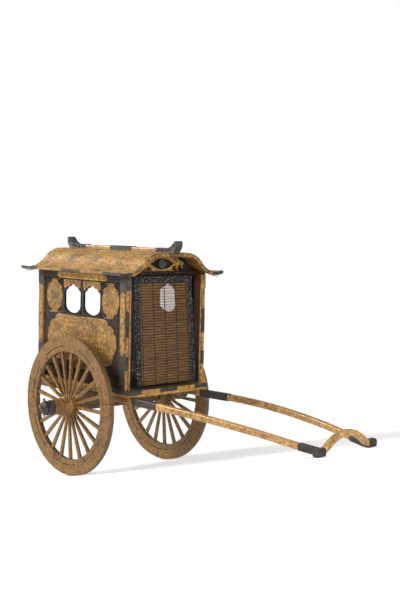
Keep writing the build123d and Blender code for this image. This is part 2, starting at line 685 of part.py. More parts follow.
# Front blind: a stiff hung sheet on a rod under the lintel, leaning a little out at its foot
blind_half = door_half - blind_gap
blind_y = cabin_front + 6.5
blind_z = lintel_bottom - rod_drop
blind_length = (blind_z - sill_top - blind_foot_gap) / math.cos(math.radians(blind_lean))
rod = Pos(0, blind_y, blind_z) * Rot(Y=90) * Cylinder(rod_radius, 2 * door_half)
parts["blind_rod"] = rod
loop = Rot(Y=90) * Cylinder(rod_radius + 0.8, 2 * blind_half)
sheet = block(-blind_half, blind_half, -blind_thickness / 2, blind_thickness / 2, -blind_length, 0) + loop
sheet = sheet - Rot(Y=90) * Cylinder(rod_radius + rod_clearance, 3 * door_half)
parts["front_blind"] = Pos(0, blind_y, blind_z) * Rot(X=-blind_lean) * sheet

# Parked stance: pitched about the axle until the yoke caps' lower front edges touch the floor
edge_y = -yoke_y + cap_size / 2 - yoke_cap_round
edge_z = -yoke_end_z + cap_size / 2 - yoke_cap_round
reach = math.hypot(edge_y, edge_z)
parking_pitch = math.degrees(math.asin((wheel_radius - yoke_cap_round) / reach) - math.atan2(edge_z,
    edge_y))
pitched = {name: Rot(X=parking_pitch) * shape for name, shape in parts.items()}
lows = [shape.bounding_box().min.Y for shape in pitched.values()]
highs = [shape.bounding_box().max.Y for shape in pitched.values()]
centre_y = -(min(lows) + max(highs)) / 2
for name, shape in pitched.items():
    export_step(Pos(0, centre_y, wheel_radius) * shape, "parts/" + name + ".step")
print("parking pitch", round(parking_pitch, 4), "axle at y", round(centre_y, 4))
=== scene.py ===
import functools
import json
import math
import bpy
import mathutils
import numpy as np
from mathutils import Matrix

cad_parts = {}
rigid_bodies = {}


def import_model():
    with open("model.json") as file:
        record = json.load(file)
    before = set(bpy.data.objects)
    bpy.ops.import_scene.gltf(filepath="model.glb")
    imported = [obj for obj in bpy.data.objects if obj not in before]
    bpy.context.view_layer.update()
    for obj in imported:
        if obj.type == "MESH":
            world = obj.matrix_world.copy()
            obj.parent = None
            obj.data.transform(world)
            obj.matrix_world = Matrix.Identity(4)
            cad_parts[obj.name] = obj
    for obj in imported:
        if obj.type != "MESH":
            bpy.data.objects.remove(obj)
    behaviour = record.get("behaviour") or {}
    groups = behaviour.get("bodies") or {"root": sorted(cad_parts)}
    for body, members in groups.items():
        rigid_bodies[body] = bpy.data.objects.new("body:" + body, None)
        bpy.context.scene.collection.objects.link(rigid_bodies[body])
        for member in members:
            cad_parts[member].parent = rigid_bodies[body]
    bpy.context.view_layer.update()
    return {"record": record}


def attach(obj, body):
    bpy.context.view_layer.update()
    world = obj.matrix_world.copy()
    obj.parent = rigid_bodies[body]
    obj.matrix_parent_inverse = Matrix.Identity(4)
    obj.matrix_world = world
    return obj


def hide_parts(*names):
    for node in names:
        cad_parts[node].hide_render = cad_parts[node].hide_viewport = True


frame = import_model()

# Lacquered model of a court ox-drawn carriage. Shapes are worked out in millimetres in the cart's own level
# frame (axle centre at the origin, front at -Y), and toFloor pitches them as the cart is parked.
mm = 0.001
record = frame["record"]
axle = record["behaviour"]["joints"][0]["pos_m"]
upright = next(row["axis"] for row in record["mounts"] if row["name"] == "cabin_floor")
stance = {"pitch": math.atan2(-upright[1], upright[2]), "axleY": axle[1], "axleZ": axle[2]}
sides = ((-1, "left"), (1, "right"))

# The cabin's and the roof's sizes, as the frame has them
cabin = {"halfWidth": 65.5, "front": -96.0, "rear": 91.0, "middle": -2.5, "sillTop": 29.5,
         "plateBottom": 161.0, "wallOuter": 64.2, "doorHalf": 57.3, "postDepth": 12.0, "relief": 0.8,
         "skin": 0.5, "frieze": 0.4}
roof = {"crownHalf": 22.0, "crownZ": 199.4, "valleyX": 77.0, "valleyZ": 173.6, "shoulderRadius": 34.0,
        "lipRadius": 17.0, "front": -108.5, "rear": 103.5}
windows = {"rear": 16.3, "front": -25.2}  # the middles of their openings along Y


def toFloor(points):  # turns (..., 3) points about X by the stance's pitch and moves them to the parked axle
    p = np.asarray(points, float)
    c, s = math.cos(stance["pitch"]), math.sin(stance["pitch"])
    y = (p[..., 1] * c - p[..., 2] * s) * mm + stance["axleY"]
    z = (p[..., 1] * s + p[..., 2] * c) * mm + stance["axleZ"]
    return np.stack([p[..., 0] * mm, y, z], -1)


def putIn(name, data):  # a new object in the scene
    obj = bpy.data.objects.new(name, data)
    bpy.context.collection.objects.link(obj)
    return obj


# Where the photograph was taken from, in the cart's level frame
photo = {"yaw": -42.65, "pitch": 4.18, "roll": 1.19, "eye": (-893.13, -1127.54, 240.14),
         "focalPixels": 1084.38, "height": 600}


# Its back axis comes from yaw and pitch, and right and up are square to that and turned by the roll
def addCamera():
    a, e, r = (math.radians(photo[key]) for key in ("yaw", "pitch", "roll"))
    back = np.array([math.sin(a) * math.cos(e), -math.cos(a) * math.cos(e), math.sin(e)])
    right = np.array([math.cos(a), math.sin(a), 0.0])
    up = np.cross(back, right)
    axes = np.stack([math.cos(r) * right + math.sin(r) * up, -math.sin(r) * right + math.cos(r) * up, back])
    turned = (toFloor(axes) - toFloor(np.zeros(3))) / mm
    data = bpy.data.cameras.new("camera")
    data.sensor_fit = "VERTICAL"
    data.sensor_height = 36.0
    data.lens = photo["focalPixels"] / photo["height"] * data.sensor_height
    data.clip_start, data.clip_end = 0.05, 20.0
    place = np.eye(4)
    place[:3, :3] = turned.T
    place[:3, 3] = toFloor(photo["eye"])
    obj = putIn("camera", data)
    obj.matrix_world = mathutils.Matrix(place.tolist())
    bpy.context.scene.camera = obj


addCamera()
print("camera set")


# Colours are written as sRGB hex, as a colour picker shows them, and this undoes the sRGB curve
def linear(hexCode):
    parts = [int(hexCode[i:i + 2], 16) / 255 for i in (1, 3, 5)]
    return tuple(v / 12.92 if v <= 0.04045 else ((v + 0.055) / 1.055) ** 2.4 for v in parts) + (1.0,)


# One node: its settings, a ramp's (place, hex colour) stops, and its inputs as values or as what feeds them
def addNode(tree, kind, inputs=(), output=0, stops=(), **settings):
    node = tree.nodes.new("ShaderNode" + kind)
    for key, value in settings.items():
        setattr(node, key, value)
    while stops and len(node.color_ramp.elements) < len(stops):
        node.color_ramp.elements.new(0.5)
    for k, (at, colour) in enumerate(stops):
        node.color_ramp.elements[k].position = at
        node.color_ramp.elements[k].color = linear(colour)
    for key, value in inputs.items() if isinstance(inputs, dict) else enumerate(inputs):
        if isinstance(value, bpy.types.NodeSocket):
            tree.links.new(value, node.inputs[key])
        else:
            node.inputs[key].default_value = value
    return node.outputs if output is None else node.outputs[output]


colourMix = {"output": 2, "data_type": "RGBA"}  # settings that many nodes share
smooth = {"interpolation_type": "SMOOTHSTEP"}


def newMaterial(name, metallic, roughness, gloss=0.5):
    material = bpy.data.materials.new(name)
    material.use_nodes = True
    shader = material.node_tree.nodes["Principled BSDF"]
    shader.inputs["Metallic"].default_value = metallic
    shader.inputs["Roughness"].default_value = roughness
    shader.inputs["Specular IOR Level"].default_value = gloss
    return material


def workOn(material):  # a way to add nodes to it, and the cart's own coordinates in millimetres
    add = functools.partial(addNode, material.node_tree)
    place = add("Mapping", {"Vector": add("TexCoord", output="Object"), "Rotation": (stance["pitch"], 0, 0),
                            "Location": (0, stance["axleY"], stance["axleZ"]), "Scale": (mm, mm, mm)},
                vector_type="TEXTURE")
    return add, place


def blotted(place, size, detail, roughness):  # a noise's inputs, from the size in mm of its largest blots
    return {"Vector": place, "Scale": 1 / size, "Detail": detail, "Roughness": roughness}


def reopen(material):  # for a variant: its present colour, and the cart's coordinates apart and together
    add, place = workOn(material)
    colour = material.node_tree.nodes["Principled BSDF"].inputs["Base Color"].links[0].from_socket
    return add, colour, add("SeparateXYZ", [place], output=None), place


def feed(material, sockets):  # links each one to its shader's input of that name
    for key, socket in sockets.items():
        material.node_tree.links.new(socket, material.node_tree.nodes["Principled BSDF"].inputs[key])


# Sprinkled gold lacquer over wood is satin, with blots of browner and yellower gold where the powder lies
# thin or thick, grains of powder, and dark pin-pricks and rubbed spots where the ground shows. Each layer is
# the size in mm of its largest blots, its detail and its roughness; the grains are drawn coarser than real
lacquerLayers = {"broad": (26.0, 2.0, 0.55), "blots": (5.0, 5.0, 0.7), "grains": (0.45, 2.0, 0.8),
                 "tints": (6.0, 3.0, 0.6), "clouds": (2.6, 4.0, 0.75), "worn": (3.2, 6.0, 0.75)}
lacquerShades = [("grains", 0.6, [(0.34, "#857f74"), (0.62, "#ffffff")]),
                 ("tints", 0.5, [(0.38, "#ffd8be"), (0.5, "#ffffff"), (0.62, "#ecffbe")]),
                 ("clouds", 0.85, [(0.36, "#a39580"), (0.58, "#ffffff")])]


def goldLacquer(name, dark, middle, light, metallic=0.25, roughness=0.42, stain="#4d3a20", stains=0.4,
                relief=0.05, gloss=0.5):
    material = newMaterial(name, metallic, roughness, gloss)
    add, place = workOn(material)
    layers = {}
    for layer, sizes in lacquerLayers.items():
        layers[layer] = add("TexNoise", blotted(place, *sizes))
    broad = add("Math", [layers["broad"], 0.3], operation="MULTIPLY")
    blots = add("Math", [layers["blots"], 0.7, broad], operation="MULTIPLY_ADD")
    colour = add("ValToRGB", [blots], stops=[(0.40, dark), (0.5, middle), (0.60, light)])
    for layer, amount, stops in lacquerShades:
        shade = add("ValToRGB", [layers[layer]], stops=stops)
        colour = add("Mix", {0: amount, 6: colour, 7: shade}, blend_type="MULTIPLY", **colourMix)
    worn = add("MapRange", [layers["worn"], 0.58, 0.68], **smooth)
    worn = add("Math", [worn, stains], operation="MULTIPLY")
    height = add("Math", [blots, 2.0, layers["grains"]], operation="MULTIPLY_ADD")
    colour = add("Mix", {0: worn, 6: colour, 7: linear(stain)}, **colourMix)
    feed(material, {"Base Color": colour,
                    "Roughness": add("Math", [blots, 0.25, roughness - 0.12], operation="MULTIPLY_ADD"),
                    "Normal": add("Bump", {"Strength": 1.0, "Distance": relief * mm, "Height": height})})
    return material


# Patinated copper alloy, engraved by hand: dark brown to violet grey, with rings and scroll lines all over
# that catch the light, paler where hands have rubbed it
def patinatedMetal(name, dark, light, metallic=0.3, roughness=0.5, engraving=0.16, gloss=0.35):
    material = newMaterial(name, metallic, roughness, gloss)
    add, place = workOn(material)
    tarnish = add("TexNoise", blotted(place, 7.0, 5.0, 0.65))
    colour = add("ValToRGB", [tarnish], stops=[(0.3, dark), (0.7, light)])
    cells = add("TexVoronoi", {"Vector": place, "Scale": 0.8, "Randomness": 0.35}, output="Distance")
    rings = add("Math", [cells, 0.36], operation="SUBTRACT")
    rings = add("MapRange", [add("Math", [rings], operation="ABSOLUTE"), 0.02, 0.14], **smooth)
    waves = add("TexWave", {"Vector": place, "Scale": 0.16, "Distortion": 9.0, "Detail": 1.0,
                            "Detail Scale": 0.5}, output=1, wave_type="RINGS")
    scroll = add("MapRange", [waves, 0.1, 0.35], **smooth)
    cut = add("Math", [rings, scroll], operation="MULTIPLY")
    shade = add("ValToRGB", [cut], stops=[(0.0, "#6a6468"), (1.0, "#ffffff")])
    height = add("Math", [tarnish, 0.4, cut], operation="MULTIPLY_ADD")
    colour = add("Mix", {0: 0.5, 6: colour, 7: shade}, blend_type="MULTIPLY", **colourMix)
    feed(material, {"Base Color": colour,
                    "Roughness": add("Math", [tarnish, 0.35, roughness - 0.17], operation="MULTIPLY_ADD"),
                    "Normal": add("Bump", {"Strength": 1.0, "Distance": engraving * mm, "Height": height})})
    return material


# The walls' ground: engraved metal on the outside, with olive mottles low down beside the wheels; within, old
# brown lacquer painted near black as painted shade inside the cabin, lighter brown at the doorways
wallGround = {"metal": ("#1c1611", "#3e342b"), "lacquer": ("#080502", "#1c1006"), "doorways": "#4f3110",
              "mottles": "#6b4f22", "under": (62.0, 72.0), "within": (40.0, 62.0), "strength": 0.85,
              "depth": 0.9}


def groundMaterial():
    material = patinatedMetal("wall ground", *wallGround["metal"], 0.0, 0.7, gloss=0.12)
    add, metal, (x, y, z), place = reopen(material)
    across = add("Math", [x], operation="ABSOLUTE")
    grain = add("TexNoise", blotted(place, 9.0, 5.0, 0.7))
    # The inside lacquer's near-black colours are painted shade for the dark inside the cabin
    lacquer = add("ValToRGB", [grain], stops=list(zip((0.3, 0.7), wallGround["lacquer"])))
    beyond = add("Math", [y, cabin["middle"]], operation="SUBTRACT")
    beyond = add("Math", [beyond], operation="ABSOLUTE")
    wallHalf = (cabin["rear"] - cabin["front"]) / 2 - cabin["postDepth"]
    beyond = add("MapRange", [beyond, wallHalf - 0.1, wallHalf + 0.2], **smooth)
    lacquer = add("Mix", {0: beyond, 6: lacquer, 7: linear(wallGround["doorways"])}, **colourMix)
    below = add("MapRange", [z, *wallGround["under"], 1.0, 0.0], **smooth)
    near = add("Math", [y], operation="ABSOLUTE")
    near = add("MapRange", [near, *wallGround["within"], 1.0, 0.0], **smooth)
    mottles = add("TexNoise", blotted(place, 7.0, 4.0, 0.7))
    mottles = add("MapRange", [mottles, 0.42, 0.6, 0.0, wallGround["strength"]], **smooth)
    amount = add("Math", [add("Math", [below, near], operation="MULTIPLY"), mottles], operation="MULTIPLY")
    metal = add("Mix", {0: amount, 6: metal, 7: linear(wallGround["mottles"])}, **colourMix)
    edge = cabin["wallOuter"] - wallGround["depth"]
    outside = add("MapRange", [across, edge - 0.1, edge + 0.1], **smooth)
    feed(material, {"Base Color": add("Mix", {0: outside, 6: lacquer, 7: metal}, **colourMix)})
    return material


# Posts: gold on the faces that look forward and back, with a dark groove; brown lacquer on the side of the
# doorway, darkened towards nearly black at its foot as painted shade; dark metal on the outer sides
posts = {"gold": ("#7a5a2d", "#a98044", "#cb9d55"), "jamb": ("#0e0802", "#4f3110"),
         "metal": ("#1e1813", "#40362d"), "groove": (59.7, 60.9), "edge": 0.2}


def postMaterial():
    material = goldLacquer("post lacquer", *posts["gold"])
    add, gold, parts, place = reopen(material)
    across = add("Math", [parts["X"]], operation="ABSOLUTE")
    grain = add("TexNoise", blotted(place, 6.0, 4.0, 0.6))
    metal = add("ValToRGB", [grain], stops=list(zip((0.3, 0.7), posts["metal"])))
    side = add("MapRange", [across, cabin["halfWidth"] - 0.2, cabin["halfWidth"] - 0.05], **smooth)
    first, last = posts["groove"]
    groove = add("Math", [add("MapRange", [across, first, first + posts["edge"]], **smooth),
                          add("MapRange", [across, last - posts["edge"], last, 1.0, 0.0], **smooth)],
                 operation="MULTIPLY")
    jamb = add("MapRange", [across, cabin["doorHalf"] + 0.05, cabin["doorHalf"] + 0.3, 1.0, 0.0], **smooth)
    # The doorway side darkens from its top down to nearly black at its foot: painted shade in the doorway
    height = add("Math", [parts["Z"], cabin["plateBottom"]], operation="DIVIDE")
    shade = add("ValToRGB", [height], stops=list(zip((0.3, 0.95), posts["jamb"])))
    dark = add("Math", [groove, jamb], operation="MAXIMUM")
    colour = add("Mix", {0: dark, 6: gold, 7: shade}, **colourMix)
    feed(material, {"Base Color": add("Mix", {0: side, 6: colour, 7: metal}, **colourMix)})
    return material


# Head fittings: patinated metal, but the front right one's front and inner leaves are lacquered as its post
def headMaterial():
    material = goldLacquer("head fitting", *posts["gold"])
    add, gold, parts, place = reopen(material)
    grain = add("TexNoise", blotted(place, 7.0, 5.0, 0.65))
    metal = add("ValToRGB", [grain], stops=[(0.3, "#211b17"), (0.7, "#4e443c")])
    inner = add("MapRange", [parts["X"], cabin["doorHalf"] + 0.05, cabin["doorHalf"] + 0.3], **smooth)
    gold = add("Mix", {0: inner, 6: linear(posts["jamb"][1]), 7: gold}, **colourMix)
    amount = add("Math", [parts["Y"], 0.0], operation="LESS_THAN")
    for kind, limit in (("GREATER_THAN", 0.0), ("LESS_THAN", cabin["halfWidth"] + 0.2)):
        here = add("Math", [parts["X"], limit], operation=kind)
        amount = add("Math", [amount, here], operation="MULTIPLY")
    feed(material, {"Base Color": add("Mix", {0: amount, 6: metal, 7: gold}, **colourMix)})
    return material


# Wheel lacquer: browner gold, with grime along the felloes' outer and inner edges
wheelFinish = {"gold": ("#684c21", "#835f28", "#956e2d"), "stain": "#4a3822", "darkening": "#4a3826",
               "outer": (89.2, 91.4), "inner": (68.2, 70.2), "spokeEnd": (66.0, 69.4)}


def wheelMaterial():
    material = goldLacquer("wheel lacquer", *wheelFinish["gold"], 0.15, 0.48, wheelFinish["stain"], 0.3, 0.07)
    add, gold, parts, place = reopen(material)
    square = add("Math", [parts["Z"], parts["Z"]], operation="MULTIPLY")
    square = add("Math", [parts["Y"], parts["Y"], square], operation="MULTIPLY_ADD")
    radius = add("Math", [square], operation="SQRT")
    rough = add("TexNoise", blotted(place, 4.0, 4.0, 0.7))
    rough = add("Math", [rough, 1.6], operation="MULTIPLY")
    outer = add("MapRange", [add("Math", [radius, rough], operation="ADD"), *wheelFinish["outer"]], **smooth)
    inner = add("Math", [radius, rough], operation="SUBTRACT")
    inner = add("MapRange", [inner, *wheelFinish["inner"], 1.0, 0.0], **smooth)
    spokes = add("MapRange", [radius, *wheelFinish["spokeEnd"]], **smooth)
    inner = add("Math", [inner, spokes], operation="MULTIPLY")
    darkening = add("Math", [add("Math", [outer, inner], operation="MAXIMUM"), 0.6], operation="MULTIPLY")
    colour = add("Mix", {0: darkening, 6: gold, 7: linear(wheelFinish["darkening"])}, **colourMix)
    feed(material, {"Base Color": colour})
    return material


# The same lacquer darkened to brown as painted shade: on the shafts' runs under the body, and on the sill's
# outer sides and its top. Each row is an axis (0: distance from the middle) and where the painted shade
# starts and is full
def shadedMaterial(name, colours, rows, darkening):
    material = goldLacquer(name, *colours)
    add, gold, parts = reopen(material)[:3]
    along = [add("Math", [parts["X"]], operation="ABSOLUTE"), parts["Y"], parts["Z"]]
    amount = 0.0
    for axis, low, high in rows:
        here = add("MapRange", [along[axis], low, high, 0.0, 0.78], **smooth)
        amount = add("Math", [here, amount], operation="MAXIMUM")
    feed(material, {"Base Color": add("Mix", {0: amount, 6: gold, 7: linear(darkening)}, **colourMix)})
    return material


# Silk brocade, woven in pale flowers on blue black and faded: matt, with fine ribs across the weave
def brocadeMaterial():
    material = newMaterial("silk brocade", 0.0, 0.85, 0.15)
    add, place = workOn(material)
    cells = add("TexVoronoi", {"Vector": place, "Scale": 0.19, "Randomness": 0.35}, output="Distance")
    petal = add("Math", [add("Math", [cells, 15.0], operation="MULTIPLY")], operation="SINE")
    blur = add("TexNoise", {"Vector": place, "Scale": 0.9, "Detail": 2.0})
    motif = add("MapRange", [add("Math", [blur, 1.5, petal], operation="MULTIPLY_ADD"), 1.0, 1.5], **smooth)
    threads = add("TexWave", {"Vector": place, "Scale": 1.1}, output=1, bands_direction="Z")
    grain = add("TexNoise", blotted(place, 2.4, 5.0, 0.8))
    ground = add("ValToRGB", [grain], stops=[(0.35, "#0e0f12"), (0.6, "#232328"), (0.75, "#3c3834")])
    fading = add("TexNoise", blotted(place, 3.6, 3.0, 0.7))
    fading = add("MapRange", [fading, 0.50, 0.60, 0.12, 0.67], **smooth)
    amount = add("Math", [motif, fading], operation="MULTIPLY")
    colour = add("Mix", {0: amount, 6: ground, 7: linear("#85837d")}, **colourMix)
    shade = add("ValToRGB", [threads], stops=[(0.2, "#a8a8a8"), (0.8, "#ffffff")])
    height = add("Math", [threads, motif], operation="ADD")
    colour = add("Mix", {0: 0.3, 6: colour, 7: shade}, blend_type="MULTIPLY", **colourMix)
    feed(material, {"Base Color": colour,
                    "Normal": add("Bump", {"Strength": 1.0, "Distance": 0.12 * mm, "Height": height})})
    return material


# Split bamboo: each stick its own brown, with darker fibres drawn out along it
def bambooMaterial(name, dark, light):
    material = newMaterial(name, 0.0, 0.55, 0.3)
    add, place = workOn(material)
    fibres = add("Mapping", {"Vector": place, "Scale": (0.06, 1.0, 1.0)})
    grain = add("TexNoise", blotted(fibres, 1.1, 3.0, 0.7))
    fine = add("TexNoise", blotted(fibres, 0.3, 2.0, 0.55))
    feed(material, {"Base Color": add("ValToRGB", [grain], stops=[(0.3, dark), (0.7, light)]),
                    "Normal": add("Bump", {"Strength": 1.0, "Distance": 0.05 * mm, "Height": fine})})
    return material


# The shafts carry painted shade from just before the cabin on, and the sill on its outer sides and its top
shaftShade = [(1, cabin["front"] - 8.0, cabin["front"] + 14.0)]
sillShade = [(0, 65.6, 66.2), (2, cabin["sillTop"] - 0.3, cabin["sillTop"] - 0.1)]
finishes = {
    "roof gold": goldLacquer("roof lacquer", "#7b5f2f", "#a07c3e", "#b9904b", roughness=0.45),
    "gold": goldLacquer("gold lacquer", "#73552a", "#a27a3e", "#c5974f"),
    "panel gold": goldLacquer("panel lacquer", "#6d5026", "#957036", "#b68943"),
    "shaft gold": shadedMaterial("shaft lacquer", ("#9c7740", "#c3985a", "#d8ae6b"), shaftShade, "#4f3a20"),
    "sill gold": shadedMaterial("sill lacquer", ("#8a6733", "#b98d4c", "#d9a95e"), sillShade, "#35230e"),
    "bright gold": goldLacquer("raised gold", "#9c7538", "#c2954b", "#dcae61", 0.35, 0.36, stains=0.2),
    # The frieze lacquer is paler than the other gold as painted light, against the eave's shadow over the
    # frieze
    "frieze gold": goldLacquer("frieze lacquer", "#c39148", "#efbb60", "#ffd888", 0.2, 0.42, stains=0.3),
    # The bed lacquer is a darker copy of the gold, as painted shade for the axle and bolster under the body
    "bed gold": goldLacquer("bed lacquer", "#5c4420", "#7d5c2c", "#977038", 0.1, 0.5),
    "dull gold": goldLacquer("tarnished gold", "#6a583a", "#84703f", "#9a8149", 0.25, 0.45, stains=0.3),
    "pale gold": goldLacquer("pale raised gold", "#b88a50", "#dcae70", "#f0c88c", 0.3, 0.36, stains=0.2),
    "wheel": wheelMaterial(),
    "post": postMaterial(),
    "head": headMaterial(),
    "metal": patinatedMetal("patinated metal", "#211b17", "#4e443c", 0.25, 0.5),
    "horn metal": patinatedMetal("rubbed patinated metal", "#2b2523", "#625a58", 0.35, 0.45, 0.22),
    "crest metal": patinatedMetal("violet patinated metal", "#3b363c", "#6a6472", 0.3, 0.45),
    "gable ground": patinatedMetal("gable ground", "#15150f", "#3d3a32", 0.0, 0.7, gloss=0.15),
    "ground": groundMaterial(),
    "dark": goldLacquer("dark lacquer", "#191109", "#291c0f", "#3b2815", 0.0, 0.6, "#120c06", gloss=0.12),
    "seam": goldLacquer("open joint", "#1a120b", "#23180f", "#2c2017", 0.0, 0.8, "#140e08", gloss=0.1),
    "brocade": brocadeMaterial(),
    "bamboo": bambooMaterial("split bamboo", "#503b21", "#9a7245"),
    "dark bamboo": bambooMaterial("dark split bamboo", "#1d130b", "#3a2817"),
}
bySlot = {"gold_lacquer": "gold", "wheel_lacquer": "wheel", "patinated_metal": "metal",
          "dark_lacquer": "dark", "bamboo_blind": "bamboo"}
byFinish = {"roof gold": ["roof_shell"], "panel gold": ["cloud_panels", "side_medallions"],
            "gold": ["window_spandrels", "ridge_pole"], "frieze gold": ["frieze_bands"],
            "ground": ["side_wall_left", "side_wall_right", "wall_plates", "lower_rails"],
            "shaft gold": ["shaft_left", "shaft_right", "yoke"], "sill gold": ["sill_frame"],
            "bed gold": ["axle", "bolster"], "post": ["corner_posts"], "head": ["post_head_fittings"],
            "bright gold": ["post_foot_bracket", "gable_struts"], "metal": ["window_frames"],
            "horn metal": ["ridge_ornaments"], "crest metal": ["gable_crests"],
            "gable ground": ["gable_boards"], "dark": ["blind_rod"]}
byNode = {node: finish for finish, nodes in byFinish.items() for node in nodes}
for row in record["subparts"]:
    mesh = bpy.data.objects[row["node"]].data
    mesh.materials.clear()
    mesh.materials.append(finishes[byNode.get(row["node"], bySlot[row["material_slot"]])])
print("finishes set")


# Six times the volume inside closed strands is the sum of corner . (corner x corner) over their triangles,
# and where it is negative, the faces point inwards and are turned round
def outwards(places, polygons):
    total = 0.0
    for q in polygons:
        p = places[q] - places.mean(0)
        for k in range(1, q.shape[1] - 1):
            total += (p[:, 0] * np.cross(p[:, k], p[:, k + 1])).sum()
    return [q[:, ::-1] for q in polygons] if total < 0 else polygons


# One mesh from points in the cart's frame and arrays of corner numbers, one array for each number of corners
def makePiece(name, points, polygons, finish, body="cart", slot="gold_lacquer", smoothShaded=True):
    mesh = bpy.data.meshes.new(name)
    places = toFloor(points).reshape(-1, 3)
    polygons = outwards(places, polygons)
    corners = np.concatenate([q.ravel() for q in polygons])
    sizes = np.concatenate([np.full(len(q), q.shape[1]) for q in polygons])
    mesh.vertices.add(len(places))
    mesh.vertices.foreach_set("co", places.ravel())
    mesh.loops.add(len(corners))
    mesh.loops.foreach_set("vertex_index", corners)
    mesh.polygons.add(len(sizes))
    mesh.polygons.foreach_set("loop_start", np.concatenate([[0], np.cumsum(sizes)[:-1]]))
    mesh.update(calc_edges=True)
    mesh.validate()
    mesh.polygons.foreach_set("use_smooth", np.full(len(mesh.polygons), smoothShaded))
    mesh.materials.append(finishes[finish])
    obj = putIn(name, mesh)
    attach(obj, body)
    return obj


def strandFaces(count, stations, corners):  # closed strands: walls round each and a cap on each end
    grid = np.arange(count * stations * corners).reshape(count, stations, corners)
    after = np.roll(grid, -1, 2)
    walls = np.stack([grid[:, :-1], after[:, :-1], after[:, 1:], grid[:, 1:]], -1).reshape(-1, 4)
    caps = np.concatenate([grid[:, 0, ::-1], grid[:, -1]])
    return [walls, caps]


# A raised rib with a three-cornered section along each line: (k, n, 2) places on a surface and half widths
# become (k, n, 3, 3) places and heights. Its crest falls with the root of its width, its feet are sunk
def ribs(lines, halfWidths, rise, sunk=0.05):
    along = np.gradient(lines, axis=1)
    along = along / (np.linalg.norm(along, axis=-1, keepdims=True) + 1e-9)
    across = np.stack([-along[..., 1], along[..., 0]], -1) * halfWidths[..., None]
    points = np.zeros(lines.shape[:2] + (3, 3))
    points[:, :, 0, :2], points[:, :, 1, :2], points[:, :, 2, :2] = lines + across, lines, lines - across
    points[:, :, 1, 2] = rise * np.sqrt(halfWidths / halfWidths.max())
    points[:, :, 0, 2] = points[:, :, 2, 2] = -sunk
    return points


def joinRibs(parts, toCart):  # rows of (lines, half widths, rise) as one set of points and faces
    points, walls, caps, start = [], [], [], 0
    for lines, widths, rise in parts:
        grid = ribs(lines, widths, rise)
        quads, ends = strandFaces(grid.shape[0], grid.shape[1], 3)
        walls.append(quads + start)
        caps.append(ends + start)
        points.append(toCart(grid.reshape(-1, 3)))
        start += grid.shape[0] * grid.shape[1] * 3
    return np.concatenate(points), [np.concatenate(walls), np.concatenate(caps)]


def bothSides(name, parts, x, finish):  # ribs on the left and right walls: u is Y and v is Z
    for side, word in sides:
        def toCart(p):
            return np.stack([side * (x + p[:, 2]), p[:, 0], p[:, 1]], -1)
        makePiece(name + "_" + word, *joinRibs(parts, toCart), finish)


def evenLines(lines, halfWidth, rise):  # one row of ribs, as wide all along
    return [(lines, np.full(lines.shape[:2], halfWidth), rise)]


# One vine scroll about each centre, as shares of its size: a spiral whose radius grows as the 0.9th power of
# the way along it, and six leaves that start on its outer turn and bend outwards
vine = {"turns": 1.6, "eye": 0.06, "reach": 0.40, "leaves": (0.15, 1.2, 2.25, 3.3, 4.4, 5.4),
        "leafRoot": 0.46, "leafReach": 0.19, "bend": 0.75}


def scrolls(centres, size, seed, rise=(0.22, 0.28), fatness=(1.0, 1.0)):
    rng = np.random.default_rng(seed)
    count = len(centres)
    phase = rng.uniform(0, 2 * math.pi, count)[:, None]
    hand = np.where((np.arange(count) % 2 == 0)[:, None], 1.0, -1.0)
    t = np.linspace(0, 1, 22)[None]
    whole = vine["turns"] * 2 * math.pi
    radius = size * (vine["eye"] + vine["reach"] * t ** 0.9)
    angle = phase + hand * t * whole
    spirals = centres[:, None] + np.stack([radius * np.cos(angle), radius * np.sin(angle)], -1)
    widths = np.broadcast_to(size * (0.028 + 0.03 * (1 - t) ** 6 + 0.018 * t), angle.shape)
    leaves = []
    leafWidths = []
    along = np.linspace(0, 1, 5)[None]
    for turn in vine["leaves"]:
        start = phase + hand * (whole - turn)
        reach = size * (vine["leafRoot"] - 0.03 * turn + vine["leafReach"] * along)
        angle = start + hand * vine["bend"] * along ** 1.4
        leaves.append(centres[:, None] + np.stack([reach * np.cos(angle), reach * np.sin(angle)], -1))
        width = size * (0.012 + 0.062 * np.sin(math.pi * along ** 0.7))
        leafWidths.append(np.broadcast_to(width, angle.shape))
    return [(spirals, widths * fatness[0], rise[0]),
            (np.concatenate(leaves), np.concatenate(leafWidths) * fatness[1], rise[1])]


# A flower roundel about each centre: a rim, a heart and eight petal loops, each an ellipse set outwards
flower = {"petals": 8, "heart": 0.14, "petalAt": 0.55, "petalLong": 0.33, "petalWide": 0.2, "rise": 0.3}


def roundels(centres, size):
    centres = np.asarray(centres, float)
    t = np.linspace(0, 2 * math.pi, 25)[None]
    circle = size * np.stack([np.cos(t), np.sin(t)], -1).repeat(len(centres), 0)
    s = np.linspace(0, 2 * math.pi, 13)[None]
    out = size * (flower["petalAt"] - flower["petalLong"] * np.cos(s))
    side = size * flower["petalWide"] * np.sin(s)
    petals = []
    for a in np.arange(flower["petals"]) * 2 * math.pi / flower["petals"]:
        loop = np.stack([out * math.cos(a) - side * math.sin(a), out * math.sin(a) + side * math.cos(a)], -1)
        petals.append(centres[:, None] + loop.repeat(len(centres), 0))
    return (evenLines(centres[:, None] + circle, size * 0.055, flower["rise"]) +
            evenLines(centres[:, None] + flower["heart"] * circle, size * 0.09, flower["rise"]) +
            evenLines(np.concatenate(petals), size * 0.04, flower["rise"]))


def latticeCentres(u0, u1, v0, v1, pitch):  # rows of centres, each second row set half a pitch along
    rows = []
    for i, v in enumerate(np.arange(v0, v1, pitch * 0.87)):
        u = np.arange(u0 + (i % 2) * pitch / 2, u1, pitch)
        rows.append(np.stack([u, np.full(len(u), v)], -1))
    return np.concatenate(rows)


def clearOf(centres, flowers, gap):  # the centres that lie further than gap from every flower
    return centres[np.linalg.norm(centres[:, None] - np.asarray(flowers)[None], axis=-1).min(1) > gap]


